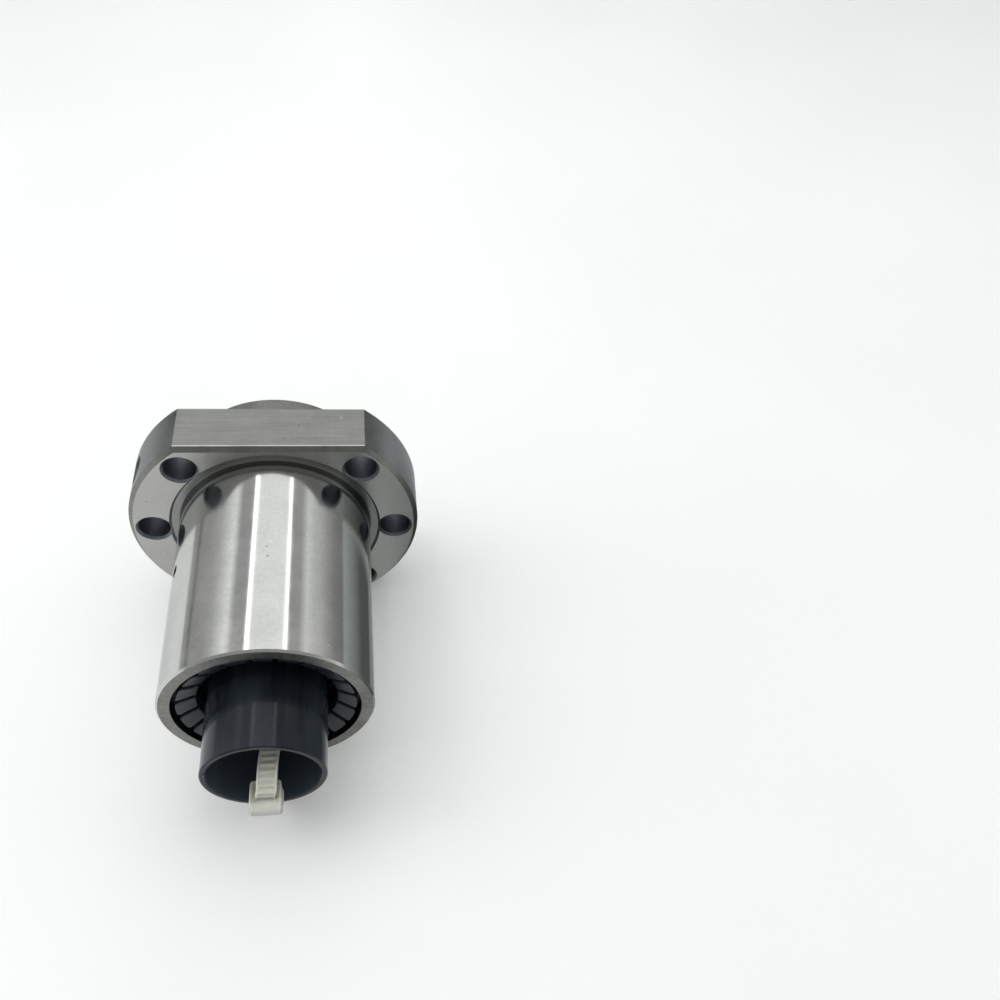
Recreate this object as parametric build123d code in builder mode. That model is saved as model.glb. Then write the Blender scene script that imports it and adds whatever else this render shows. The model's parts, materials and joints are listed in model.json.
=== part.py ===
from build123d import *
from math import cos, radians, sin, sqrt, tan
import os

# Ball screw nut for a 25 mm screw, kept on its arbor sleeve by a cable tie.
# Millimetres. The screw axis is Y. The flange's mounting face lies at y = 0 and the
# body points to -Y. The two flats of the flange face up and down, along Z.

# Bore that passes the screw, the ring of a wiper round it and the steel round the wiper
bore_d = 26.0
wiper_width = 4.45
pocket_clearance = 0.05
pocket_wall = 2.5

# Nut body: lengths, rear boss and bevels
body_length = 44.5
flange_thickness = 12.0
boss_step = 0.2
boss_length = 7.0
end_chamfer = 0.4
flange_front_chamfer = 0.9
flange_rear_chamfer = 0.4

# Grinding relief where the body meets the mounting face
relief_width = 2.0
relief_depth = 0.5
relief_band = 2.3

# Bolt holes in the flange, three on each side between the flats, the steel that is left
# from their centres to the body and to the rim, and from the relief to the flats
bolt_hole_d = 6.6
bolt_hole_chamfer = 0.5
corner_bolt_angle = 45.0
bolt_to_body = 5.5
bolt_to_rim = 5.0
relief_to_flat = 1.7

# Grease port in the rim and oil hole in the body, both on one radial line
port_angle = 157.5
port_tap_d = 5.0
port_mouth_d = 6.4
port_depth = 7.5
port_passage_d = 2.5
oil_hole_d = 2.5
oil_hole_y = -17.5
seam_turn = 20.0

# Segmented front wiper, whose pads slope in towards the screw, and plain rear wiper
wiper_recess = 0.6
wiper_base_thickness = 1.6
pad_count = 20
pad_slope = 25.0
pad_inset = 0.85
pad_gap = 0.9
pad_gap_depth = 0.9
pad_corner = 0.4
slit_angle = 155.0
slit_width = 0.5
slit_length = 1.7
rear_wiper_thickness = 4.6
rear_wiper_protrusion = 2.2
rear_wiper_edge = 0.6

# Deflector rings that turn the balls round at each end of the track
deflector_thickness = 3.4
deflector_clearance = 0.3
ball_d = 3.175
ball_passage_clearance = 0.2
return_angle = 292.5
return_offset = 2.5

# Arbor sleeve
sleeve_gap = 1.8
sleeve_wall = 1.05
sleeve_protrusion = 13.5
sleeve_rear_setback = 1.0
sleeve_edge = 0.2

# Cable tie: strap, head and the clearances to what it passes
strap_width = 3.6
strap_thickness = 1.2
strap_clearance = 0.35
seat_clearance = 0.15
head_width = 6.1
head_depth = 4.75
head_height = 4.9
head_overhang = 3.4
head_edge = 0.5
channel_clearance = 0.2
head_rim = 0.3
head_foot = 1.6
head_shoulder = 0.25
channel_front_wall = 1.1
pawl_height = 1.6
pawl_bite = 0.1
throat_depth = 0.5
throat_margin = 0.5
tail_rise = 4.8
tail_bend = 4.6
tail_reach = 15.0
tail_drop = 14.8
tip_narrowing = 1.1
tip_taper = 4.0

# Positions that follow from the sizes above
bore_r = bore_d / 2
wiper_r = bore_r + wiper_width
pocket_r = wiper_r + pocket_clearance
body_r = pocket_r + pocket_wall
boss_r = body_r + boss_step
sleeve_r = bore_r - sleeve_gap
bolt_circle_r = body_r + bolt_to_body
flange_r = bolt_circle_r + bolt_to_rim
relief_outer_r = body_r + relief_band
half_flats = relief_outer_r + relief_to_flat
pad_outer_r = wiper_r - pad_inset
pad_slope_drop = (pad_outer_r - bore_r) * tan(radians(pad_slope))
front_face_y = -body_length
pad_front_y = front_face_y + wiper_recess
pad_root_y = pad_front_y + pad_slope_drop + pad_gap_depth
front_floor_y = pad_root_y + wiper_base_thickness + deflector_thickness
boss_face_y = flange_thickness + boss_length
rear_floor_y = boss_face_y + rear_wiper_protrusion - rear_wiper_thickness - deflector_thickness
sleeve_front_y = front_face_y - sleeve_protrusion
sleeve_rear_y = boss_face_y - sleeve_rear_setback
sleeve_bore_r = sleeve_r - sleeve_wall

# Drawing plane of the mounting face: its x is X, its y is Z, and it looks to -Y
mounting_plane = Plane(origin=(0, 0, 0), x_dir=(1, 0, 0), z_dir=(0, -1, 0))
rear_plane = Plane(origin=(0, flange_thickness, 0), x_dir=(1, 0, 0), z_dir=(0, 1, 0))
corner_bolt_x = bolt_circle_r * cos(radians(corner_bolt_angle))
corner_bolt_z = bolt_circle_r * sin(radians(corner_bolt_angle))
bolt_points = [
    (side * x, z)
    for side in (1, -1)
    for x, z in ((bolt_circle_r, 0), (corner_bolt_x, corner_bolt_z), (corner_bolt_x, -corner_bolt_z))
]


def radial_plane(radius, y, angle):
    """Plane on the surface at this radius, looking straight out from the axis.

    Its x, where a round hole has its seam, is turned a little out of the Y direction.
    """
    out = Vector(cos(radians(angle)), 0, sin(radians(angle)))
    along = Vector(0, 1, 0) * cos(radians(seam_turn)) + Vector(0, 1, 0).cross(out) * sin(radians(seam_turn))
    return Plane(origin=out * radius + Vector(0, y, 0), x_dir=along, z_dir=out)


# Nut body: one ground piece of steel with flange, pilot body and rear boss
with BuildPart() as nut_body:
    with BuildSketch(Plane.XY):
        with BuildLine():
            Polyline(
                (pocket_r, front_face_y),
                (body_r - end_chamfer, front_face_y),
                (body_r, front_face_y + end_chamfer),
                (body_r, -relief_width),
                (body_r - relief_depth, relief_depth - relief_width),
                (body_r - relief_depth, relief_depth),
                (relief_outer_r - relief_depth, relief_depth),
                (relief_outer_r, 0),
                (flange_r, 0),
                (flange_r, flange_thickness),
                (boss_r, flange_thickness),
                (boss_r, boss_face_y - end_chamfer),
                (boss_r - end_chamfer, boss_face_y),
                (pocket_r, boss_face_y),
                (pocket_r, rear_floor_y),
                (bore_r, rear_floor_y),
                (bore_r, front_floor_y),
                (pocket_r, front_floor_y),
                close=True,
            )
        make_face()
    revolve(axis=Axis.Y)

    # Flats
    with BuildSketch(mounting_plane):
        with Locations((0, half_flats + flange_r), (0, -half_flats - flange_r)):
            Rectangle(4 * flange_r, 2 * flange_r)
    extrude(amount=-flange_thickness, mode=Mode.SUBTRACT)

    # Bevels round the two faces of the flange
    flange_faces = nut_body.faces().filter_by(Axis.Y)
    front_rim = flange_faces.filter_by_position(Axis.Y, -0.01, 0.01)[0].outer_wire().edges()
    chamfer(front_rim, length=flange_front_chamfer)
    flange_faces = nut_body.faces().filter_by(Axis.Y)
    rear_rim = flange_faces.filter_by_position(
        Axis.Y, flange_thickness - 0.01, flange_thickness + 0.01
    )[0].outer_wire().edges()
    chamfer(rear_rim, length=flange_rear_chamfer)

    # Bolt holes, bevelled on both faces
    mouth_r = bolt_hole_d / 2 + bolt_hole_chamfer
    with Locations(mounting_plane):
        with Locations(*bolt_points):
            CounterSinkHole(bolt_hole_d / 2, mouth_r, flange_thickness, counter_sink_angle=90)
    with Locations(rear_plane):
        with Locations(*bolt_points):
            CounterSinkHole(bolt_hole_d / 2, mouth_r, flange_thickness, counter_sink_angle=90)

    # Grease port, tapped from the rim and drilled on into the bore
    with Locations(radial_plane(flange_r, flange_thickness / 2, port_angle)):
        CounterSinkHole(port_tap_d / 2, port_mouth_d / 2, port_depth, counter_sink_angle=90)
        Hole(port_passage_d / 2, depth=flange_r - bore_r / 2)

    # Oil hole through the wall of the body
    with Locations(radial_plane(body_r, oil_hole_y, port_angle)):
        Hole(oil_hole_d / 2, depth=body_r - bore_r / 2)

nut_body.part.label = "nut_body"

# Front wiper: a plastic ring whose front is parted by radial gaps into pads. The pads
# slope in towards the screw.
pad_middle_r = (pad_outer_r + bore_r) / 2
pad_reach = pad_outer_r - bore_r
pad_plane = Plane(origin=(0, pad_root_y, 0), x_dir=(1, 0, 0), z_dir=(0, -1, 0))
with BuildPart() as front_wiper:
    with BuildSketch(pad_plane):
        Circle(wiper_r)
        Circle(bore_r, mode=Mode.SUBTRACT)
    extrude(amount=-wiper_base_thickness)
    with BuildSketch(pad_plane) as pads:
        Circle(pad_outer_r)
        Circle(bore_r, mode=Mode.SUBTRACT)
        with PolarLocations(pad_middle_r, pad_count, start_angle=180 / pad_count):
            Rectangle(2 * pad_reach, pad_gap, mode=Mode.SUBTRACT)
        outer_corners = [
            corner for corner in pads.vertices() if sqrt(corner.X**2 + corner.Y**2) > pad_middle_r
        ]
        chamfer(outer_corners, length=pad_corner)
        with PolarLocations(pad_middle_r, 1, start_angle=slit_angle):
            Rectangle(slit_length, slit_width, mode=Mode.SUBTRACT)
    extrude(amount=pad_root_y - pad_front_y)

    # Slope of the pads: everything in front of a cone is cut away
    with BuildSketch(Plane.XY):
        with BuildLine():
            Polyline(
                (pad_outer_r, pad_front_y),
                (pad_outer_r - 2 * pad_reach, pad_front_y + 2 * pad_slope_drop),
                (pad_outer_r - 2 * pad_reach, pad_front_y),
                close=True,
            )
        make_face()
    revolve(axis=Axis.Y, mode=Mode.SUBTRACT)
front_wiper.part.label = "front_wiper"

# Rear wiper: a plain plastic ring that stands proud of the boss
with BuildPart() as rear_wiper:
    with BuildSketch(Plane.XY):
        with BuildLine():
            rear_wiper_y = boss_face_y + rear_wiper_protrusion
            Polyline(
                (bore_r, rear_wiper_y - rear_wiper_thickness),
                (wiper_r, rear_wiper_y - rear_wiper_thickness),
                (wiper_r, rear_wiper_y - rear_wiper_edge),
                (wiper_r - rear_wiper_edge, rear_wiper_y),
                (bore_r, rear_wiper_y),
                close=True,
            )
        make_face()
    revolve(axis=Axis.Y)
rear_wiper.part.label = "rear_wiper"


def deflector(floor_y, toward):
    """Deflector ring on a pocket floor, with the trough that leads the balls round."""
    floor_plane = Plane(origin=(0, floor_y, 0), x_dir=(1, 0, 0), z_dir=(0, toward, 0))
    trough_r = (ball_d + ball_passage_clearance) / 2
    track_r = bore_r + deflector_clearance
    with BuildPart() as ring:
        with BuildSketch(floor_plane):
            Circle(wiper_r)
            Circle(track_r, mode=Mode.SUBTRACT)
        extrude(amount=deflector_thickness)
        out = Vector(cos(radians(return_angle)), 0, sin(radians(return_angle)))
        side = Vector(-out.Z, 0, out.X)
        end = out * (bore_r + return_offset) + Vector(0, floor_y, 0)
        start = out * (track_r - trough_r) + side * (2 * ball_d) + Vector(0, floor_y, 0)
        with BuildLine() as trough:
            Line(start, end)
        with BuildSketch(Plane(origin=start, z_dir=end - start)):
            Circle(trough_r)
        sweep(path=trough.line, mode=Mode.SUBTRACT)
    return ring.part


front_deflector = deflector(front_floor_y, -1)
front_deflector.label = "front_deflector"
rear_deflector = deflector(rear_floor_y, 1)
rear_deflector.label = "rear_deflector"

# Arbor sleeve: a thin tube that keeps the balls in their track
with BuildPart() as arbor_sleeve:
    with BuildSketch(mounting_plane.offset(-sleeve_front_y)):
        Circle(sleeve_r)
        Circle(sleeve_bore_r, mode=Mode.SUBTRACT)
    extrude(amount=sleeve_front_y - sleeve_rear_y)
    chamfer(arbor_sleeve.edges().filter_by(GeomType.CIRCLE), length=sleeve_edge)
arbor_sleeve.part.label = "arbor_sleeve"

# Cable tie. Its head stands in the mouth of the sleeve. The strap leaves the head's
# back along the bottom of the bore, turns down behind the boss, runs forward under the
# flange and body, comes up through the head and ends as a loose tail behind the nut.
head_front_y = sleeve_front_y - head_overhang
head_rear_y = head_front_y + head_depth
half_strap = strap_thickness / 2
bore_run_z = half_strap - sqrt((sleeve_bore_r - strap_clearance) ** 2 - (strap_width / 2) ** 2)
head_bottom_z = bore_run_z + 0.25
head_top_z = head_bottom_z + head_height
root_z = head_bottom_z + half_strap
under_flange_z = -(half_flats + seat_clearance + half_strap)
under_body_z = -(body_r + seat_clearance + half_strap)
wiper_back_y = boss_face_y + rear_wiper_protrusion
channel_y = head_front_y + channel_front_wall + channel_clearance + half_strap
tail_z = head_top_z + tail_rise

# Corners of the strap's route as (y, z) and the bend radius at each
strap_route = [
    ((head_rear_y - 0.4, root_z), None),
    ((head_rear_y + 4.0, root_z), 12.0),
    ((head_rear_y + 8.0, bore_run_z), 12.0),
    ((wiper_back_y + 2.6, bore_run_z), 3.2),
    ((wiper_back_y + 1.0, -(body_r - 0.8)), 7.0),
    ((flange_thickness + 3.2, under_flange_z), 3.6),
    ((0.0, under_flange_z), 18.0),
    ((front_face_y, under_body_z), 18.0),
    ((sleeve_front_y + 7.5, under_body_z + 0.3), 6.0),
    ((sleeve_front_y + 2.5, -(sleeve_r + 2.2)), 6.0),
    ((channel_y, -(sleeve_r + 0.55)), 2.0),
    ((channel_y, tail_z), tail_bend),
    ((sleeve_rear_y - 2.0, tail_z - 2.6), 30.0),
    ((wiper_back_y + 0.4 * tail_reach, tail_z - 4.0), 9.0),
    ((wiper_back_y + 0.7 * tail_reach, tail_z - 0.5 * tail_drop), 9.0),
    ((wiper_back_y + tail_reach, tail_z - tail_drop), None),
]
with BuildPart() as cable_tie:
    # Head: a rounded block with a wider foot and a shallow throat round the strap
    head_middle_y = (head_front_y + head_rear_y) / 2
    with BuildSketch(Plane.XY.offset(head_bottom_z)):
        with Locations((0, head_middle_y)):
            RectangleRounded(head_width, head_depth, head_edge)
    extrude(amount=head_foot)
    with BuildSketch(Plane.XY.offset(head_bottom_z + head_foot)):
        with Locations((0, head_middle_y)):
            RectangleRounded(head_width - 2 * head_shoulder, head_depth, head_edge)
    extrude(amount=head_height - head_foot)
    fillet(cable_tie.faces().sort_by(Axis.Z)[-1].edges(), radius=head_rim)
    fillet(cable_tie.faces().sort_by(Axis.Z)[0].edges(), radius=head_rim)
    throat_width = strap_width + 2 * throat_margin
    with BuildSketch(Plane.XY.offset(head_top_z)):
        with Locations((0, channel_y)):
            Rectangle(throat_width, strap_thickness + 2 * channel_clearance)
            with Locations((0, throat_margin)):
                Rectangle(throat_width, strap_thickness + 2 * channel_clearance)
    extrude(amount=-throat_depth, mode=Mode.SUBTRACT)
    with BuildSketch(Plane.XY.offset(head_bottom_z)):
        with Locations((0, channel_y)):
            Rectangle(strap_width + 2 * channel_clearance, strap_thickness + 2 * channel_clearance)
    extrude(amount=head_height, mode=Mode.SUBTRACT)

    # Pawl that grips the strap inside the head
    with Locations((0, channel_y + half_strap, (head_bottom_z + head_top_z) / 2)):
        Box(strap_width / 2, 2 * channel_clearance + pawl_bite, pawl_height)

    # Strap, one flat band along the whole route
    with BuildLine() as strap_path:
        FilletPolyline(
            *[(0, y, z) for (y, z), bend in strap_route],
            radius=[bend for corner, bend in strap_route[1:-1]],
        )
    strap_line = strap_path.line
    with BuildSketch(Plane(origin=strap_line @ 0, x_dir=(1, 0, 0), z_dir=strap_line % 0)):
        Rectangle(strap_width, strap_thickness)
    sweep(path=strap_line)

    # Tip of the tail, tapered so that it threads into the head
    tip_face = cable_tie.faces().sort_by(Axis.Y)[-1]
    tip_corners = tip_face.edges().filter_by(Axis.X, reverse=True)
    chamfer(tip_corners, length=tip_narrowing, length2=tip_taper, reference=tip_face)
print("strap length", round(sum(edge.length for edge in strap_line.edges()), 1))
cable_tie.part.label = "cable_tie"

os.makedirs("parts", exist_ok=True)
for part in (
    nut_body.part,
    front_wiper.part,
    rear_wiper.part,
    front_deflector,
    rear_deflector,
    arbor_sleeve.part,
    cable_tie.part,
):
    export_step(part, f"parts/{part.label}.step")
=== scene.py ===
"""Ball screw nut kept on its plastic arbor sleeve by a nylon cable tie, on a pale table."""
import json
import math
import bmesh
import bpy
from mathutils import Matrix, Vector

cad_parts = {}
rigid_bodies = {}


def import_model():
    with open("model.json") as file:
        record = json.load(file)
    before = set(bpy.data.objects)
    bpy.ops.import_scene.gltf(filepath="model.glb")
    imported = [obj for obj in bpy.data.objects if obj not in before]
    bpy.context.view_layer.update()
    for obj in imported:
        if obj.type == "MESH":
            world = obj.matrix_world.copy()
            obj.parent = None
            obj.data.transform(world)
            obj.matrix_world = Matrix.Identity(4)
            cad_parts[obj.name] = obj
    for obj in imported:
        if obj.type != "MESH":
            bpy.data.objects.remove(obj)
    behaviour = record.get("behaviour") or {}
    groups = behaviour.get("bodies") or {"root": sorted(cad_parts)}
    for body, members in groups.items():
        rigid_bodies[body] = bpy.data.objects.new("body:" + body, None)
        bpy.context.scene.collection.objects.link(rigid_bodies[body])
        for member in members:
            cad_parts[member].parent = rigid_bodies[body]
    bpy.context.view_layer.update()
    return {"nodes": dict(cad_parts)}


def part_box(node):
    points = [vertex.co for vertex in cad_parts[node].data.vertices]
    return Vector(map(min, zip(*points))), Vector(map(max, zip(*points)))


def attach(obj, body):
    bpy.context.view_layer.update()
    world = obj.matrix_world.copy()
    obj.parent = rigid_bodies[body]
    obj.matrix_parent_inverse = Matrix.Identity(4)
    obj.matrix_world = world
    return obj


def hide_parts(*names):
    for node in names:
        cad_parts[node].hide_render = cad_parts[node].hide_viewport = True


for startup_object in list(bpy.data.objects):
    bpy.data.objects.remove(startup_object)

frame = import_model()
nodes = frame["nodes"]

MM = 0.001

# Sizes of the nut, from the frame or as its solids have them
nut_low, nut_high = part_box("nut_body")
sleeve_low, sleeve_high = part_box("arbor_sleeve")
tie_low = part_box("cable_tie")[0]
flange_r = nut_high.x
half_flats = nut_high.z
body_front_y = nut_low.y
body_r = 20 * MM
relief_r = 22.3 * MM
flange_thickness = 12 * MM
flange_bevel = 0.9 * MM
sleeve_r = sleeve_high.x
pocket_r = 17.4 * MM
wiper_front_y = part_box("front_wiper")[0].y
port_angle = math.radians(157.5)
port_r = 2.5 * MM
port_mouth_r = 3.25 * MM
port_out = Vector((math.cos(port_angle), 0, math.sin(port_angle)))
port_centre = Vector((0, flange_thickness / 2, 0))
sleeve_wall = 1.05 * MM
sleeve_bore_r = sleeve_r - sleeve_wall
wiper_bore_r = 13 * MM

# Cable tie: the same sizes as its solid has, and the ribs on its strap
strap_width = 3.6 * MM
strap_thickness = 1.2 * MM
half_strap = strap_thickness / 2
strap_clearance = 0.35 * MM
seat_clearance = 0.15 * MM
head_depth = 4.75 * MM
head_height = 4.9 * MM
head_foot = 1.6 * MM
head_shoulder = 0.25 * MM
head_above_strap = 0.25 * MM
head_front_y = tie_low.y
head_rear_y = head_front_y + head_depth
bore_run_z = half_strap - math.sqrt((sleeve_bore_r - strap_clearance) ** 2 - (strap_width / 2) ** 2)
head_bottom_z = bore_run_z + head_above_strap
head_top_z = head_bottom_z + head_height
channel_setback = 1.9 * MM
channel_y = head_front_y + channel_setback
tail_rise = 4.8 * MM
tail_z = head_top_z + tail_rise
tail_reach = 15 * MM
tail_drop = 14.8 * MM
wiper_back_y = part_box("rear_wiper")[1].y
under_flange_z = -half_flats - seat_clearance - half_strap
under_body_z = -body_r - seat_clearance - half_strap
tip_narrowing = 1.1 * MM
rib_pitch = 1.15 * MM
rib_step = rib_pitch / 4
rib_depth = 0.42 * MM
rail_inside = 1.4 * MM
strap_rounding = 0.14 * MM

# What the nut lies on: the strap under the flange and under the end of the body, and
# the lower corner of the flange on the right
strap_edge = strap_width / 2
strap_lowest_y = 0.8 * MM
strap_under_flange = Vector((strap_edge, strap_lowest_y, tie_low.z))
strap_under_body = Vector((strap_edge, body_front_y, -body_r - seat_clearance - strap_thickness))
flange_corner_x = math.sqrt(flange_r**2 - half_flats**2)
flange_corner = Vector((flange_corner_x, flange_bevel, -half_flats))


def add(tree, kind, settings=None, **sockets):
    """A new shader node with its settings, and its sockets linked or set."""
    made = tree.nodes.new("ShaderNode" + kind)
    for name, value in (settings or {}).items():
        setattr(made, name, value)
    for name, value in sockets.items():
        key = int(name[1:]) if name[0] == "i" and name[1:].isdigit() else name.replace("_", " ")
        if isinstance(value, bpy.types.NodeSocket):
            tree.links.new(value, made.inputs[key])
        else:
            made.inputs[key].default_value = value
    return made


def maths(tree, operation, first, second=0.0):
    """The result of one Math node."""
    return add(tree, "Math", {"operation": operation}, i0=first, i1=second).outputs[0]


def band(tree, value, low, high, start=0.0, end=1.0):
    """A value moved from one range to another and kept inside it."""
    made = add(
        tree, "MapRange", {"clamp": True},
        Value=value, From_Min=low, From_Max=high, To_Min=start, To_Max=end,
    )
    return made.outputs["Result"]


def object_place(tree):
    """Object coordinates, in metres."""
    return add(tree, "TexCoord").outputs["Object"]


def cloud(tree, place, scale, detail=3.0, roughness=0.55, stretch=(1, 1, 1)):
    """A noise pattern on stretched object coordinates, from 0 to 1."""
    stretched = add(tree, "Mapping", Vector=place, Scale=stretch)
    made = add(
        tree, "TexNoise",
        Vector=stretched.outputs[0], Scale=scale, Detail=detail, Roughness=roughness,
    )
    return made.outputs["Fac"]


def specks(tree, place, spacing, share, size):
    """Scattered dots: 1 inside a dot. A share of the cells, each of one spacing, has one."""
    cells = add(tree, "TexVoronoi", Vector=place, Scale=1 / spacing)
    lot = add(tree, "SeparateColor", Color=cells.outputs["Color"]).outputs[0]
    chosen = maths(tree, "LESS_THAN", lot, share)
    dot = band(tree, cells.outputs["Distance"], size, 0.5 * size)
    return maths(tree, "MULTIPLY", chosen, dot)


def from_axis(tree, place):
    """Distance from the screw axis."""
    parts = add(tree, "SeparateXYZ", Vector=place).outputs
    across = maths(tree, "MULTIPLY", parts[0], parts[0])
    upwards = maths(tree, "MULTIPLY", parts[2], parts[2])
    return maths(tree, "SQRT", maths(tree, "ADD", across, upwards))


def blend_values(tree, share, first, second):
    """A value between two, by a share from 0 to 1."""
    return add(tree, "Mix", {"data_type": "FLOAT"}, i0=share, i2=first, i3=second).outputs[0]


def blend_colours(tree, share, first, second):
    """A colour between two, by a share from 0 to 1. Each is a socket or three numbers."""
    ends = [end if isinstance(end, bpy.types.NodeSocket) else (*end, 1) for end in (first, second)]
    return add(tree, "Mix", {"data_type": "RGBA"}, i0=share, i6=ends[0], i7=ends[1]).outputs[2]


def blank_material(name):
    """A new material with its tree and its principled shader."""
    material = bpy.data.materials.new(name)
    material.use_nodes = True
    return material, material.node_tree, material.node_tree.nodes["Principled BSDF"]


quarter_turn = 0.25


def drawn_round(tree, shader, amount):
    """Gloss that spreads along the screw axis, as on a surface ground or turned round it."""
    shader.inputs["Anisotropic"].default_value = amount
    shader.inputs["Anisotropic Rotation"].default_value = quarter_turn
    around = add(tree, "Tangent", {"direction_type": "RADIAL", "axis": "Y"})
    tree.links.new(around.outputs[0], shader.inputs["Tangent"])


def roughen(tree, shader, layers):
    """Bump from several height patterns, each with its depth in metres."""
    normal = None
    for height, depth in layers:
        bump = add(tree, "Bump", Strength=1.0, Distance=depth, Height=height)
        if normal is not None:
            tree.links.new(normal, bump.inputs["Normal"])
        normal = bump.outputs["Normal"]
    tree.links.new(normal, shader.inputs["Normal"])


# Marks on steel and plastic. A scale is in repeats a metre, a stretch is a scale along x, y
# and z, and a detail is a noise pattern's detail and roughness.
ground_stretch = (60, 5200, 60)
milled_stretch = (70, 2400, 70)
turned_spread = 90.0
turned_scale = 60.0
line_detail = (4.0, 0.7)
stain_scale = 160.0
stain_detail = (4.0, 0.6)
stain_range = (0.3, 0.7)
grain_scale = 1400.0
grain_detail = (3.0, 0.6)
grain_share = 0.4
grain_depth = 0.0006 * MM
wave_scale = 70.0
wave_detail = (2.0, 0.5)
wave_stretch = (1, 0.6, 1)
steel_range = (0.35, 0.62)
steel_edge_tint = (0.75, 0.75, 0.75, 1)

# Pits and nicks: their spacing, the share of places that have one, and their size there. A nick is a
# raised bump, and its near-white colour is a painted glint
pits_laid = (2.6 * MM, 0.2, 0.07)
pit_depth = 0.03 * MM
pit_colour = (0.05, 0.05, 0.05)
nick_glints_laid = (3.4 * MM, 0.4, 0.055)
nick_height = 0.04 * MM
glint_colour = (0.9, 0.9, 0.9)

# Painted highlight: a bright line along an edge. Painted shade: dark colour in the corners of the
# relief groove
highlight_full = 0.2 * MM
highlight_reach = 0.32 * MM
highlight_stains = (0.3, 0.5)
highlight_least = 0.35
highlight_colour = (0.62, 0.62, 0.6)
corner_shade_by_body = (0.1 * MM, 0.35 * MM)
corner_shade_by_flange = (0.45 * MM, 0.2 * MM)
corner_shade_colour = (0.075, 0.08, 0.075)


def machining_lines(tree, place, radius, streaks):
    """Lines that the tool left: 'round' a ground cylinder, in 'rings' on a turned face, or
    'along' a milled flat."""
    if streaks == "rings":
        spread = add(tree, "CombineXYZ", X=maths(tree, "MULTIPLY", radius, turned_spread))
        return cloud(tree, spread.outputs[0], turned_scale, *line_detail)
    stretch = ground_stretch if streaks == "round" else milled_stretch
    return cloud(tree, place, 1.0, *line_detail, stretch)


def painted_edge_highlight(tree, place, stains, edge_y):
    """Painted highlight along an edge: a thin bright line behind its y, uneven as the stains are."""
    along = add(tree, "SeparateXYZ", Vector=place).outputs[1]
    line = band(tree, along, edge_y + highlight_reach, edge_y + highlight_full)
    return maths(tree, "MULTIPLY", line, band(tree, stains, *highlight_stains, highlight_least, 1.0))


def painted_corner_shade(tree, radius, inner_r, outer_r):
    """Painted shade: dark colour in the two corners of a groove's floor, by their radii."""
    inner = band(tree, radius, inner_r + corner_shade_by_body[0], inner_r + corner_shade_by_body[1], 1.0, 0.0)
    outer = band(tree, radius, outer_r - corner_shade_by_flange[0], outer_r - corner_shade_by_flange[1])
    return maths(tree, "MAXIMUM", inner, outer)


def steel(name, colours, gloss, streaks, streak_depth, streak_share=0.2, brushed=0.0, wave_depth=0.0,
          shaded_corners=None, highlight_edge=None):
    """Machined steel with tool marks, stains, pits, and nicks painted near white as glints.
    streak_share is how much of the colour's change the tool marks make, and gloss gives the least and
    greatest roughness. The last two give the radii of a groove's corners that get painted shade, and
    the y of an edge that gets a painted highlight."""
    material, tree, shader = blank_material(name)
    place = object_place(tree)
    radius = from_axis(tree, place)
    lines = machining_lines(tree, place, radius, streaks)
    stains = cloud(tree, place, stain_scale, *stain_detail)
    grain = cloud(tree, place, grain_scale, *grain_detail)
    pits = specks(tree, place, *pits_laid)
    nicks_and_glints = specks(tree, place, *nick_glints_laid)
    tone = blend_values(tree, streak_share, blend_values(tree, grain_share, stains, grain), lines)
    colour = blend_colours(tree, band(tree, tone, *steel_range), *colours)
    colour = blend_colours(tree, pits, colour, pit_colour)
    # Painted glint: the nicks are coloured near white
    colour = blend_colours(tree, nicks_and_glints, colour, glint_colour)
    # Painted highlight: a bright line along the edge
    if highlight_edge:
        highlight = painted_edge_highlight(tree, place, stains, highlight_edge)
        colour = blend_colours(tree, highlight, colour, highlight_colour)
    # Painted shade: dark colour in the corners of the groove
    if shaded_corners:
        corner_shade = painted_corner_shade(tree, radius, *shaded_corners)
        colour = blend_colours(tree, corner_shade, colour, corner_shade_colour)
    tree.links.new(colour, shader.inputs["Base Color"])
    tree.links.new(band(tree, stains, *stain_range, *gloss), shader.inputs["Roughness"])
    shader.inputs["Metallic"].default_value = 1.0
    shader.inputs["Specular Tint"].default_value = steel_edge_tint
    layers = [(lines, streak_depth), (grain, grain_depth), (pits, -pit_depth), (nicks_and_glints, nick_height)]
    if wave_depth:
        waves = cloud(tree, place, wave_scale, *wave_detail, wave_stretch)
        layers.append((waves, wave_depth))
    roughen(tree, shader, layers)
    if brushed:
        drawn_round(tree, shader, brushed)
    return material


# Marks on the dark plastic: moulding marks, fine grain and pale scuffs
plastic_grain_scale = 1100.0
plastic_range = (0.35, 0.65)
mould_depth = 0.015 * MM
bore_blend = 0.1 * MM
scuff_stretch = (900, 120, 500)
scuff_detail = (5.0, 0.75)
scuff_range = (0.70, 0.80)
scuff_colour = (0.10, 0.11, 0.12)


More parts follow.
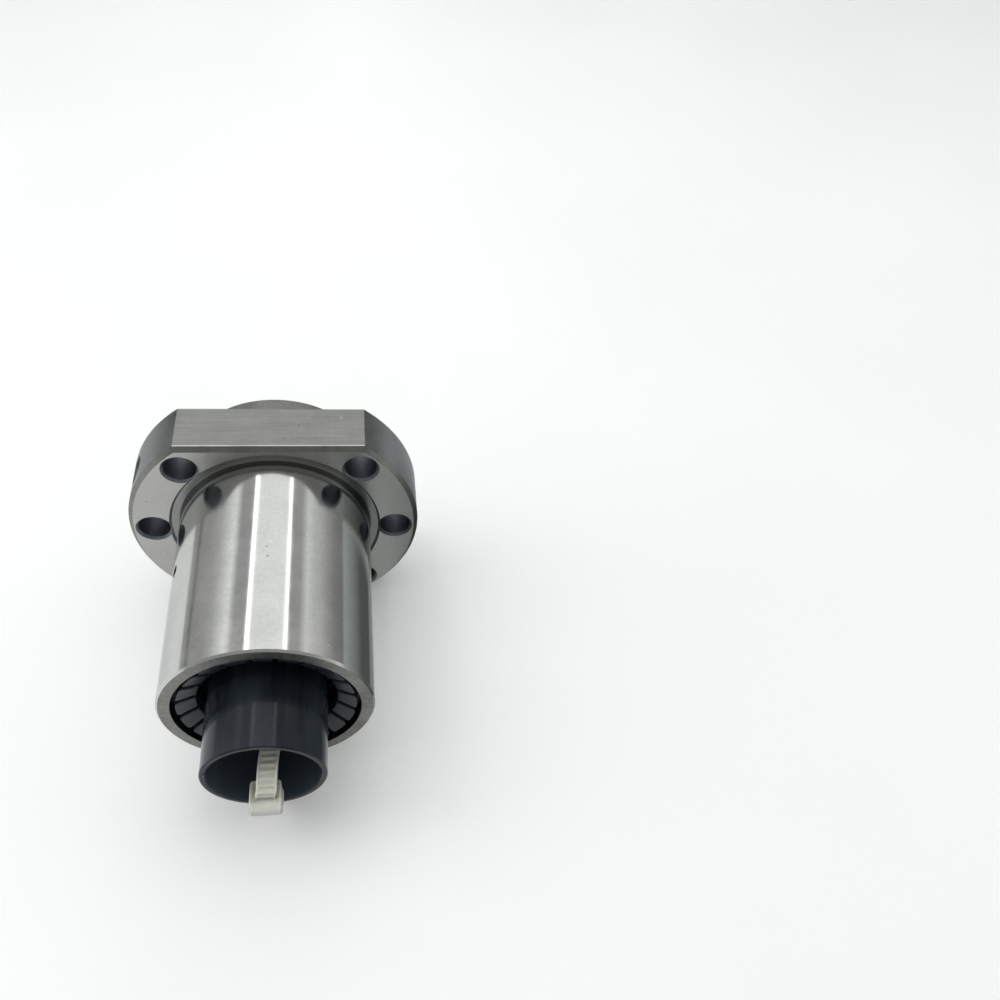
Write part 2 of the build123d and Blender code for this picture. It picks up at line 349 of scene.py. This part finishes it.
def black_plastic(name, colours, bore_light_colour, inner_r, roughness, scuff_share, shine, drawn=1.0):
    """Moulded or drawn dark plastic with a few pale scuffs, and a lighter colour painted in its
    bore as painted light that lifts the shade there. drawn under 1 stretches its stains along the axis."""
    material, tree, shader = blank_material(name)
    place = object_place(tree)
    stains = cloud(tree, place, stain_scale, *stain_detail, (1, drawn, 1))
    grain = cloud(tree, place, plastic_grain_scale, *grain_detail)
    scuffs = band(tree, cloud(tree, place, 1.0, *scuff_detail, scuff_stretch), *scuff_range)
    worn = maths(tree, "MULTIPLY", scuffs, scuff_share)
    # Painted light: the bore is coloured lighter to lift the shade in it
    bore_light_share = band(tree, from_axis(tree, place), inner_r + bore_blend, inner_r)
    colour = blend_colours(tree, band(tree, stains, *plastic_range), *colours)
    colour = blend_colours(tree, bore_light_share, colour, bore_light_colour)
    colour = blend_colours(tree, worn, colour, scuff_colour)
    tree.links.new(colour, shader.inputs["Base Color"])
    tree.links.new(band(tree, stains, *stain_range, *roughness), shader.inputs["Roughness"])
    shader.inputs["Specular IOR Level"].default_value = shine
    roughen(tree, shader, ((stains, mould_depth), (grain, grain_depth)))
    return material


# The tie's nylon: its haze, how far light goes into it, and ripples from moulding
haze_scale = 300.0
nylon_colours = ((0.77, 0.78, 0.68), (0.87, 0.87, 0.78))
nylon_roughness = (0.3, 0.42)
milkiness = 0.6
milk_reach = 1.2 * MM
milk_by_colour = (1.0, 0.9, 0.7)
ripple_scale = 900.0
ripple_depth = 0.01 * MM


def natural_nylon():
    """Milky, slightly see-through nylon of a cable tie."""
    material, tree, shader = blank_material("natural_nylon")
    place = object_place(tree)
    haze = cloud(tree, place, haze_scale, *stain_detail)
    colour = blend_colours(tree, band(tree, haze, *stain_range), *nylon_colours)
    tree.links.new(colour, shader.inputs["Base Color"])
    tree.links.new(band(tree, haze, *stain_range, *nylon_roughness), shader.inputs["Roughness"])
    shader.inputs["Subsurface Weight"].default_value = milkiness
    shader.inputs["Subsurface Radius"].default_value = milk_by_colour
    shader.inputs["Subsurface Scale"].default_value = milk_reach
    roughen(tree, shader, ((cloud(tree, place, ripple_scale), ripple_depth),))
    return material


# Finishes of the nut body's surfaces: ground pilot, turned faces, relief groove, ends, milled
# flats, rim, bevels, rear boss, bolt holes, and the port, bore and pockets inside; the holes, port,
# bore and pockets are darkened as painted shade
steel_looks = {
    "ground_steel": dict(
        colours=((0.555, 0.57, 0.555), (0.65, 0.66, 0.64)), gloss=(0.09, 0.15), streaks="round",
        streak_depth=0.0004 * MM, streak_share=0.1, brushed=0.7, wave_depth=0.009 * MM,
    ),
    "faced_steel": dict(
        colours=((0.405, 0.405, 0.39), (0.475, 0.475, 0.46)), gloss=(0.26, 0.36), streaks="rings",
        streak_depth=0.0012 * MM,
    ),
    # The relief groove gets painted shade in its two corners
    "relief_steel": dict(
        colours=((0.25, 0.25, 0.245), (0.29, 0.29, 0.285)), gloss=(0.26, 0.34), streaks="rings",
        streak_depth=0.001 * MM, shaded_corners=(body_r, relief_r),
    ),
    "end_steel": dict(
        colours=((0.165, 0.165, 0.155), (0.32, 0.32, 0.30)), gloss=(0.35, 0.5), streaks="rings",
        streak_depth=0.003 * MM,
    ),
    # The milled flats get a painted highlight along their edge by the bevel
    "milled_steel": dict(
        colours=((0.20, 0.205, 0.19), (0.29, 0.295, 0.275)), gloss=(0.34, 0.46), streaks="along",
        streak_depth=0.002 * MM, streak_share=0.5, highlight_edge=flange_bevel,
    ),
    "rim_steel": dict(
        colours=((0.155, 0.16, 0.16), (0.24, 0.25, 0.25)), gloss=(0.26, 0.38), streaks="round",
        streak_depth=0.0012 * MM, brushed=0.4,
    ),
    "bevel_steel": dict(
        colours=((0.165, 0.165, 0.155), (0.245, 0.245, 0.23)), gloss=(0.28, 0.38), streaks="rings",
        streak_depth=0.001 * MM,
    ),
    "boss_steel": dict(
        colours=((0.17, 0.17, 0.165), (0.25, 0.25, 0.24)), gloss=(0.42, 0.55), streaks="round",
        streak_depth=0.003 * MM,
    ),
    # Painted shade: the bolt holes are coloured darker
    "hole_steel": dict(
        colours=((0.15, 0.17, 0.19), (0.21, 0.23, 0.255)), gloss=(0.42, 0.52), streaks="round",
        streak_depth=0.002 * MM,
    ),
    # Painted shade: the port, the bore and the pockets are coloured near black
    "dark_steel": dict(
        colours=((0.05, 0.055, 0.06), (0.085, 0.09, 0.095)), gloss=(0.35, 0.5), streaks="round",
        streak_depth=0.002 * MM,
    ),
}
finishes = {name: steel(name, **look) for name, look in steel_looks.items()}
sleeve_black = black_plastic(
    "sleeve_black", colours=((0.006, 0.008, 0.011), (0.024, 0.031, 0.039)),
    bore_light_colour=(0.07, 0.09, 0.115), inner_r=sleeve_bore_r, roughness=(0.09, 0.16),
    scuff_share=0.4, shine=0.22, drawn=0.15,
)
wiper_black = black_plastic(
    "wiper_black", colours=((0.022, 0.028, 0.035), (0.034, 0.043, 0.053)),
    bore_light_colour=(0.035, 0.045, 0.055), inner_r=wiper_bore_r, roughness=(0.3, 0.42),
    scuff_share=0.25, shine=0.5,
)
nylon = natural_nylon()

# How near a face lies to the surface that it belongs to, how deep the relief cuts into the
# body, how far the bevels reach, and how squarely a face looks along the axis or upwards
near = 0.06 * MM
relief_cut = 10 * near
bevel_reach = 1 * MM
looks_along = 0.9
looks_upwards = 0.99
slopes = 0.5


def finish_of(face):
    """Which steel finish a face of the nut body has, by where it lies."""
    centre = face.calc_center_median()
    radius = math.hypot(centre.x, centre.z)
    facing = face.normal
    outward = facing.x * centre.x + facing.z * centre.z > 0
    by_port = (centre - port_centre).cross(port_out).length < port_mouth_r
    if by_port and body_r < radius < flange_r - near / 2 and 0 < centre.y < flange_thickness:
        return "dark_steel"
    if abs(facing.y) > looks_along:
        if centre.y < body_front_y + bevel_reach:
            return "end_steel"
        if near < centre.y < bevel_reach:
            return "relief_steel"
        return "faced_steel" if radius > pocket_r else "dark_steel"
    if abs(facing.z) > looks_upwards and abs(abs(centre.z) - half_flats) < near:
        return "milled_steel"
    if abs(facing.y) > slopes and outward and radius > body_r:
        return "bevel_steel" if is_bevel_of_flange(centre, radius) else "hole_steel"
    if outward and radius > flange_r - 2 * near:
        return "rim_steel"
    if outward and centre.y > flange_thickness + near:
        return "boss_steel"
    if outward and radius > body_r - relief_cut and centre.y < near:
        return "ground_steel"
    return "hole_steel" if radius > body_r and centre.y > near else "dark_steel"


def is_bevel_of_flange(centre, radius):
    """Whether a sloping face belongs to the flange's outer edge and not to a bolt hole."""
    return radius > flange_r - bevel_reach or abs(centre.z) > half_flats - bevel_reach


# How near two corners are one, how flat two triangles are one face, from which angle an edge
# is sharp, and which edges of the pads are rounded
merge_distance = 0.0005 * MM
same_plane = math.radians(0.5)
steel_crease = math.radians(32)
wiper_crease = math.radians(50)
tie_crease = math.radians(40)
pad_edge_angle = math.radians(40)
pad_depth = 2.2 * MM
pad_rounding = 0.14 * MM


def merged_copy(node, whole_faces):
    """A CAD node's surface as a bmesh with its triangles joined."""
    mesh = nodes[node].data.copy()
    mesh.attributes.remove(mesh.attributes["custom_normal"])
    shape = bmesh.new()
    shape.from_mesh(mesh)
    bpy.data.meshes.remove(mesh)
    bmesh.ops.remove_doubles(shape, verts=shape.verts, dist=merge_distance)
    if whole_faces:
        bmesh.ops.dissolve_limit(
            shape, angle_limit=same_plane, verts=shape.verts, edges=shape.edges
        )
    return shape


def finished_piece(name, shape, materials, body, crease=steel_crease):
    """A piece from a bmesh that rides on a body, smooth where it is round and sharp at edges."""
    for face in shape.faces:
        face.smooth = True
    for edge in shape.edges:
        edge.smooth = len(edge.link_faces) == 2 and edge.calc_face_angle() < crease
    mesh = bpy.data.meshes.new(name)
    shape.to_mesh(mesh)
    shape.free()
    for material in materials:
        mesh.materials.append(material)
    piece = bpy.data.objects.new(name, mesh)
    bpy.context.scene.collection.objects.link(piece)
    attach(piece, body)
    return piece


def steel_body():
    """The nut body, with each surface in its finish."""
    shape = merged_copy("nut_body", whole_faces=False)
    order = list(finishes)
    for face in shape.faces:
        face.material_index = order.index(finish_of(face))
    piece = finished_piece("nut_body_steel", shape, finishes.values(), "nut")
    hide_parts("nut_body")


def wiper_pads():
    """The front wiper, with rounded edges on its pads."""
    shape = merged_copy("front_wiper", whole_faces=True)
    edges = [
        edge for edge in shape.edges
        if len(edge.link_faces) == 2 and edge.calc_face_angle() > pad_edge_angle
        and max(vert.co.y for vert in edge.verts) < wiper_front_y + pad_depth
    ]
    bmesh.ops.bevel(
        shape, geom=edges, offset=pad_rounding, segments=2, profile=0.5, affect="EDGES",
        material=-1, clamp_overlap=True,
    )
    piece = finished_piece(
        "front_wiper_pads", shape, [wiper_black], "nut", wiper_crease
    )
    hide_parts("front_wiper")


# Corners of the strap's line as (y, z), each with the radius of its bend
strap_route = (
    ((head_rear_y - 0.4 * MM, head_bottom_z + half_strap), 0),
    ((head_rear_y + 4 * MM, head_bottom_z + half_strap), 12 * MM),
    ((head_rear_y + 8 * MM, bore_run_z), 12 * MM),
    ((wiper_back_y + 2.6 * MM, bore_run_z), 3.2 * MM),
    ((wiper_back_y + 1 * MM, 0.8 * MM - body_r), 7 * MM),
    ((flange_thickness + 3.2 * MM, under_flange_z), 3.6 * MM),
    ((0, under_flange_z), 18 * MM),
    ((body_front_y, under_body_z), 18 * MM),
    ((sleeve_low.y + 7.5 * MM, under_body_z + 0.3 * MM), 6 * MM),
    ((sleeve_low.y + 2.5 * MM, -sleeve_r - 2.2 * MM), 6 * MM),
    ((channel_y, -sleeve_r - 0.55 * MM), 2 * MM),
    ((channel_y, tail_z), 4.6 * MM),
    ((sleeve_high.y - 2 * MM, tail_z - 2.6 * MM), 30 * MM),
    ((wiper_back_y + 0.4 * tail_reach, tail_z - 4 * MM), 9 * MM),
    ((wiper_back_y + 0.7 * tail_reach, tail_z - 0.5 * tail_drop), 9 * MM),
    ((wiper_back_y + tail_reach, tail_z - tail_drop), 0),
)

# The last corner before the ribs show, and how finely a plain bend is divided
ribbed_from = 10
bend_step = math.radians(9)

# Between two ribs: where the gap starts and ends, as shares of their pitch
gap_start = 0.3
gap_end = 0.8

# Lean of the tail: beside the head's top, then on its way into the sleeve, and back again
head_lean = 0.35 * MM
head_lean_run = 1.5 * MM
sleeve_lean = 0.75 * MM
sleeve_lean_run = 9 * MM
lean_back_y = -40 * MM
lean_back_run = 45 * MM


def strap_frame(place, heading):
    """The place and turn of the strap's section: its width along X, its ribbed side out."""
    frame_at = Matrix.Rotation(heading, 4, "X")
    frame_at.translation = Vector((strap_lean(place), place.x, place.y))
    return frame_at


def share_done(way, run):
    """How much of a run is done, from 0 to 1."""
    return min(max(way / run, 0), 1)


def strap_lean(place):
    """How far the tail leans to the right between the head and the back of the sleeve."""
    if place.y < head_top_z or place.x > sleeve_high.y:
        return 0.0
    by_head = share_done(place.y - head_top_z, head_lean_run) * head_lean
    going_in = share_done(place.x - channel_y, sleeve_lean_run) * sleeve_lean
    coming_back = share_done(place.x - lean_back_y, lean_back_run)
    return (by_head + going_in) * (1 - coming_back)


def strap_stations():
    """Frames along the strap, each with the height of its ribbed side there."""
    stations = []
    start = Vector(strap_route[0][0])
    travelled = 0.0
    for index in range(1, len(strap_route)):
        corner = Vector(strap_route[index][0])
        come = (corner - start).normalized()
        heading = math.atan2(come.y, come.x)
        bend = strap_route[index][1]
        turn = 0.0
        if bend:
            go = (Vector(strap_route[index + 1][0]) - corner).normalized()
            turn = math.remainder(math.atan2(go.y, go.x) - heading, 2 * math.pi)
        setback = bend * math.tan(abs(turn) / 2)
        straight = (corner - start).length - setback
        ribbed = index > ribbed_from
        steps = max(round(straight / rib_step), 1) if ribbed else 1
        for step in range(steps):
            place = start + come * (straight * step / steps)
            stations.append((strap_frame(place, heading), rib_height(travelled, ribbed)))
            travelled += straight / steps
        if bend:
            side = 1 if turn > 0 else -1
            across = Vector((-come.y, come.x)) * side
            centre = corner - come * setback + across * bend
            arc = bend * abs(turn)
            steps = max(round(arc / rib_step if ribbed else abs(turn) / bend_step), 1)
            for step in range(steps):
                angle = abs(turn) * step / steps
                place = centre - across * bend * math.cos(angle) + come * bend * math.sin(angle)
                turned = strap_frame(place, heading + side * angle)
                stations.append((turned, rib_height(travelled, ribbed)))
                travelled += arc / steps
            start = corner + go * setback
    stations.append((strap_frame(corner, heading), half_strap))
    return stations


def rib_height(travelled, ribbed):
    """Height of the strap's ribbed side: full on a rib and lower between two ribs."""
    along = (travelled / rib_pitch) % 1.0
    return half_strap - rib_depth if ribbed and gap_start < along < gap_end else half_strap


def strap(shape):
    """The strap, drawn along its line with ribs between two rails on the tail's upper side."""
    edge = strap_width / 2
    rail = rail_inside
    bevel = strap_rounding
    outline = (
        (bevel - edge, -half_strap), (edge - bevel, -half_strap), (edge, bevel - half_strap),
        (edge, half_strap - bevel), (edge - bevel, half_strap), (rail, half_strap),
        (rail - bevel, half_strap), (bevel - rail, half_strap), (-rail, half_strap),
        (bevel - edge, half_strap), (-edge, half_strap - bevel), (-edge, bevel - half_strap),
    )
    stations = strap_stations()
    ring = [shape.verts.new(stations[0][0] @ Vector((x, 0, z))) for x, z in outline]
    edges = [shape.edges.new((ring[i - 1], ring[i])) for i in range(len(ring))]
    bmesh.ops.contextual_create(shape, geom=edges)
    for (before, _), (here, height) in zip(stations, stations[1:]):
        made = bmesh.ops.extrude_edge_only(shape, edges=edges)["geom"]
        verts = [item for item in made if isinstance(item, bmesh.types.BMVert)]
        edges = [item for item in made if isinstance(item, bmesh.types.BMEdge)
                 and all(vert in verts for vert in item.verts)]
        back = before.inverted()
        tip = here is stations[-1][0]
        for vert in verts:
            local = back @ vert.co
            if abs(local.x) < rail - 0.5 * bevel and local.z > 0:
                local.z = height
            if tip:
                local.x *= 1 - tip_narrowing / edge
            vert.co = here @ local
    bmesh.ops.contextual_create(shape, geom=edges)


# Head of the tie: its rounded upright edges and rims, the sunk throat round the strap, how
# far the foot stands back from its front and rear, and how near two points are level
head_rounding = 0.6 * MM
rim_rounding = 0.3 * MM
throat_inset = 0.32 * MM
throat_depth = 0.9 * MM
foot_setback = 0.1 * MM
same_level = 0.01 * MM


def bevelled_block(shape, low, high):
    """A moulded block between two corners, with its upright edges and its rims rounded."""
    size = high - low
    made = bmesh.ops.create_cube(
        shape, size=1.0, matrix=Matrix.Translation((low + high) / 2) @ Matrix.Diagonal((*size, 1)),
    )["verts"]
    edges = {edge for vert in made for edge in vert.link_edges}
    upright = [edge for edge in edges if abs(edge.verts[0].co.z - edge.verts[1].co.z) > size.z / 2]
    bmesh.ops.bevel(
        shape, geom=upright, offset=head_rounding, segments=4, profile=0.5, affect="EDGES", material=-1,
    )
    rims = [
        edge for edge in shape.edges
        if all(min(abs(vert.co.z - low.z), abs(vert.co.z - high.z)) < same_level for vert in edge.verts)
        and abs(edge.verts[0].co.z - edge.verts[1].co.z) < same_level and edge.calc_face_angle(0) > 1
    ]
    bmesh.ops.bevel(
        shape, geom=rims, offset=rim_rounding, segments=3, profile=0.5, affect="EDGES", material=-1,
    )


def cable_tie():
    """The cable tie: a strap with ribs, and a head with a wider foot and a sunk throat."""
    block_half = -tie_low.x - head_shoulder
    block = bmesh.new()
    bevelled_block(
        block, Vector((-block_half, head_front_y, head_bottom_z)),
        Vector((block_half, head_rear_y, head_top_z)),
    )
    top = max(block.faces, key=lambda face: (round(face.calc_center_median().z, 7), face.calc_area()))
    bmesh.ops.inset_region(block, faces=[top], thickness=throat_inset, use_even_offset=True)
    bmesh.ops.translate(block, verts=top.verts, vec=Vector((0, 0, -throat_depth)))
    foot = bmesh.new()
    bevelled_block(
        foot, Vector((tie_low.x, head_front_y + foot_setback, head_bottom_z)),
        Vector((-tie_low.x, head_rear_y - foot_setback, head_bottom_z + head_foot)),
    )
    tie = bmesh.new()
    strap(tie)
    bmesh.ops.recalc_face_normals(tie, faces=tie.faces)
    for part in (block, foot):
        mesh = bpy.data.meshes.new("part_of_tie")
        part.to_mesh(mesh)
        part.free()
        tie.from_mesh(mesh)
        bpy.data.meshes.remove(mesh)
    piece = finished_piece("cable_tie_ribbed", tie, [nylon], "nut", tie_crease)
    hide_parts("cable_tie")


# Thread in the grease port: how deep in the rim it starts, its pitch and turns, the depth of
# its tooth and how many sides a turn has
thread_start = 7.2 * MM
thread_pitch = 1 * MM
thread_turns = 5
thread_tooth = 0.22 * MM
thread_sides = 24
thread_merge = 0.001 * MM


def port_thread():
    """The thread in the grease port, drawn round the port's axis from its inner end."""
    foot = port_centre + port_out * (flange_r - thread_start)
    side = Vector((0, 1, 0))
    shape = bmesh.new()
    tooth = [
        shape.verts.new(foot + side * radius + port_out * step)
        for radius, step in (
            (port_r, 0), (port_r - thread_tooth, thread_pitch / 2), (port_r, thread_pitch),
        )
    ]
    edges = [shape.edges.new(pair) for pair in zip(tooth, tooth[1:])]
    bmesh.ops.spin(
        shape, geom=tooth + edges, cent=foot, axis=port_out,
        dvec=port_out * (thread_pitch / thread_sides), angle=2 * math.pi * thread_turns,
        steps=thread_sides * thread_turns, use_duplicate=False,
    )
    bmesh.ops.remove_doubles(shape, verts=shape.verts, dist=thread_merge)
    bmesh.ops.recalc_face_normals(shape, faces=shape.faces)
    probe = max(shape.faces, key=lambda face: face.calc_area())
    middle = probe.calc_center_median() - foot
    out_of_axis = middle - port_out * middle.dot(port_out)
    if probe.normal.dot(out_of_axis) > 0:
        bmesh.ops.reverse_faces(shape, faces=shape.faces)
    finished_piece("port_thread", shape, [finishes["dark_steel"]], "nut")


steel_body()
wiper_pads()
cable_tie()
port_thread()
for name, material in (
    ("arbor_sleeve", sleeve_black),
    ("rear_wiper", wiper_black),
    ("front_deflector", wiper_black),
    ("rear_deflector", wiper_black),
):
    nodes[name].material_slots[0].material = material


def plain_stage(name, shape, material):
    """A mesh object that belongs to the studio: the table, a card or the light tent."""
    mesh = bpy.data.meshes.new(name)
    shape.to_mesh(mesh)
    shape.free()
    material.cycles.emission_sampling = "NONE"
    mesh.materials.append(material)
    stage_object = bpy.data.objects.new(name, mesh)
    bpy.context.scene.collection.objects.link(stage_object)
    return stage_object


# Table: through the three points that the nut lies on
table_up = (strap_under_body - strap_under_flange).cross(flange_corner - strap_under_flange)
table_up.normalize()
if table_up.z < 0:
    table_up.negate()
table_size = 6.0
table_colours = ((0.87, 0.885, 0.885), (0.90, 0.91, 0.91))
table_cloud_scale = 9.0
table_range = (0.35, 0.65)
table_roughness = 0.4
table_glow = 0.12
table_glow_colour = (0.985, 1, 1, 1)


def table():
    """A white table top. The camera and reflections see it brighter than it lights the nut."""
    material, tree, shader = blank_material("white_table")
    tone = band(tree, cloud(tree, object_place(tree), table_cloud_scale), *table_range)
    tree.links.new(blend_colours(tree, tone, *table_colours), shader.inputs["Base Color"])
    shader.inputs["Roughness"].default_value = table_roughness
    rays = add(tree, "LightPath").outputs
    seen = maths(tree, "MAXIMUM", rays["Is Camera Ray"], rays["Is Glossy Ray"])
    seen = maths(tree, "MAXIMUM", seen, rays["Is Transmission Ray"])
    shader.inputs["Emission Color"].default_value = table_glow_colour
    tree.links.new(maths(tree, "MULTIPLY", seen, table_glow), shader.inputs["Emission Strength"])
    shape = bmesh.new()
    bmesh.ops.create_grid(shape, x_segments=2, y_segments=2, size=table_size / 2)
    lying = table_up.to_track_quat("Z", "Y").to_matrix().to_4x4()
    shape.transform(Matrix.Translation(strap_under_flange) @ lying)
    plain_stage("table_top", shape, material)


# Cards that only the nut's gloss shows: a dark one that stands on the right, with corners as
# (y, z) in millimetres, and a grey one that lies on the table between it and the nut
card_x = 37 * MM
card_glow_colour = (0.95, 1, 1, 1)
card_outline = ((45, -29), (45, 14), (-62, 14), (-62, -29))
card_heights = (-3 * MM, 13 * MM)
card_lengths = (2 * MM, 20 * MM)
card_dark = 0.12
card_top_pale = 0.42
card_end_pale = 0.85
shade_lift = 0.2 * MM
shade_reach = 13 * MM
shade_ends = (18, -62)
shade_tone = 0.34
shade_tone_by_nut = 0.55
shade_even_from = 0.6


def above_table(x, y):
    """The point just above the table at a place."""
    start = strap_under_flange
    drop = ((x - start.x) * table_up.x + (y - start.y) * table_up.y) / table_up.z
    return Vector((x, y, start.z - drop + shade_lift))


def glow_card(name, corners, tone_of):
    """A card on the right of the nut, which gives off the tone that its function says."""
    material, tree, shader = blank_material(name)
    shader.inputs["Base Color"].default_value = (0, 0, 0, 1)
    shader.inputs["Specular IOR Level"].default_value = 0.0
    shader.inputs["Emission Color"].default_value = card_glow_colour
    tree.links.new(tone_of(tree), shader.inputs["Emission Strength"])
    shape = bmesh.new()
    bmesh.ops.contextual_create(shape, geom=[shape.verts.new(corner) for corner in corners])
    card = plain_stage(name, shape, material)
    card.visible_camera = False
    card.visible_diffuse = False
    card.visible_shadow = False


def card_tone(tree):
    """Dark in the card's lower near part and paler towards its top and its far end."""
    parts = add(tree, "SeparateXYZ", Vector=object_place(tree)).outputs
    upwards = band(tree, parts[2], *card_heights, card_dark, card_top_pale)
    away = band(tree, parts[1], *card_lengths, card_dark, card_end_pale)
    return maths(tree, "MAXIMUM", upwards, away)


def shade_card_tone(tree):
    """A grey that pales towards the nut."""
    across = add(tree, "SeparateXYZ", Vector=object_place(tree)).outputs[0]
    even_x = card_x - shade_even_from * shade_reach
    return band(tree, across, card_x - shade_reach, even_x, shade_tone_by_nut, shade_tone)


glow_card("dark_card", [Vector((card_x, y * MM, z * MM)) for y, z in card_outline], card_tone)
shade_back, shade_front = shade_ends
shade_corners = [
    above_table(x, y * MM)
    for x, y in (
        (card_x, shade_back), (card_x - shade_reach, shade_back),
        (card_x - shade_reach, shade_front), (card_x, shade_front),
    )
]
glow_card("shade_card", shade_corners, shade_card_tone)
table()

# Light tent: a vault along the nut's axis. Each list gives the brightness at an angle from
# straight up, left being negative: behind the flange, over the nut and in front of it. The
# last two each hold up to their first y and fade out by their second.
tent_r = 0.75
tent_half_length = 1.1
tent_segments = 96
levels_behind = (
    (-180, 0.4), (-93, 0.4), (-92, 0.2), (-89, 0.2), (-88, 0.38), (-70, 0.42), (-60, 0.52), (-50, 0.8),
    (-43, 1.02), (-36, 0.42), (-22.5, 0.42), (-21.4, 3.2), (-18.6, 3.2), (-17.8, 1.05),
    (18.2, 1.05), (18.9, 3.2), (20.9, 3.2), (21.9, 0.40), (34, 0.42), (42, 0.84), (50, 0.66),
    (58, 0.58), (66, 0.42), (76, 0.28), (92, 0.2), (180, 0.3),
)
levels_over = (
    (-180, 0.5), (-100, 0.7), (-80, 2.0), (-35, 2.4), (-20, 1.7), (20, 1.6), (35, 1.1),
    (100, 0.6), (180, 0.3),
)
levels_before = (
    (-180, 0.5), (-100, 0.5), (-88, 0.42), (-60, 0.34), (60, 0.36), (88, 0.62), (100, 0.45), (180, 0.4),
)
tent_zones = ((levels_over, 0.22, 0.36), (levels_before, -0.24, -0.1))


def tent_ramp(tree, turn, levels, top_level):
    """Brightness by the angle round the vault."""
    ramp = add(tree, "ValToRGB", Fac=turn)
    stops = ramp.color_ramp.elements
    while len(stops) < len(levels):
        stops.new(1.0)
    for stop, (degrees, level) in zip(stops, levels):
        stop.position = (degrees + 180) / 360
        share = level / top_level
        stop.color = (share, share, share, 1)
    return ramp.outputs["Color"]


def light_tent():
    """The vault that lights the nut, which the camera itself doesn't see."""
    material, tree, shader = blank_material("tent_light")
    tree.nodes.remove(shader)
    parts = add(tree, "SeparateXYZ", Vector=object_place(tree)).outputs
    angle = maths(tree, "ARCTAN2", parts[0], parts[2])
    turn = maths(tree, "ADD", maths(tree, "DIVIDE", angle, 2 * math.pi), 0.5)
    top_level = max(level for degrees, level in levels_behind)
    light = tent_ramp(tree, turn, levels_behind, top_level)
    for levels, full_y, gone_y in tent_zones:
        share = band(tree, parts[1], full_y, gone_y, 1.0, 0.0)
        zone = tent_ramp(tree, turn, levels, top_level)
        light = blend_colours(tree, share, light, zone)
    glow = add(tree, "Emission", Color=light, Strength=top_level)
    tree.links.new(glow.outputs[0], tree.nodes["Material Output"].inputs["Surface"])
    shape = bmesh.new()
    bmesh.ops.create_cone(
        shape, cap_ends=True, segments=tent_segments, radius1=tent_r, radius2=tent_r,
        depth=2 * tent_half_length, matrix=Matrix.Rotation(math.pi / 2, 4, "X"),
    )
    tent = plain_stage("light_tent", shape, material)
    tent.visible_camera = False


light_tent()

room_colour = (0.93, 0.94, 0.94, 1)
world = bpy.data.worlds.new("pale_room")
bpy.context.scene.world = world
world.use_nodes = True
room = world.node_tree.nodes["Background"]
room.inputs["Color"].default_value = room_colour
room.inputs["Strength"].default_value = 1.0

# Camera at the photograph's place
picture_size = 1000
focal_pixels = 964.5
sensor_mm = 36.0
camera_place = Vector((15.38, -137.80, 164.41)) * MM
camera_turn = tuple(math.radians(angle) for angle in (41.782, -6.280, -6.397))
camera_range = (0.01, 20.0)

lens = bpy.data.cameras.new("camera")
lens.sensor_width = sensor_mm
lens.lens = sensor_mm * focal_pixels / picture_size
lens.clip_start, lens.clip_end = camera_range
camera = bpy.data.objects.new("camera", lens)
camera.location = camera_place
camera.rotation_euler = camera_turn
bpy.context.scene.collection.objects.link(camera)
bpy.context.scene.camera = camera
bpy.context.scene.view_settings.view_transform = "Standard"
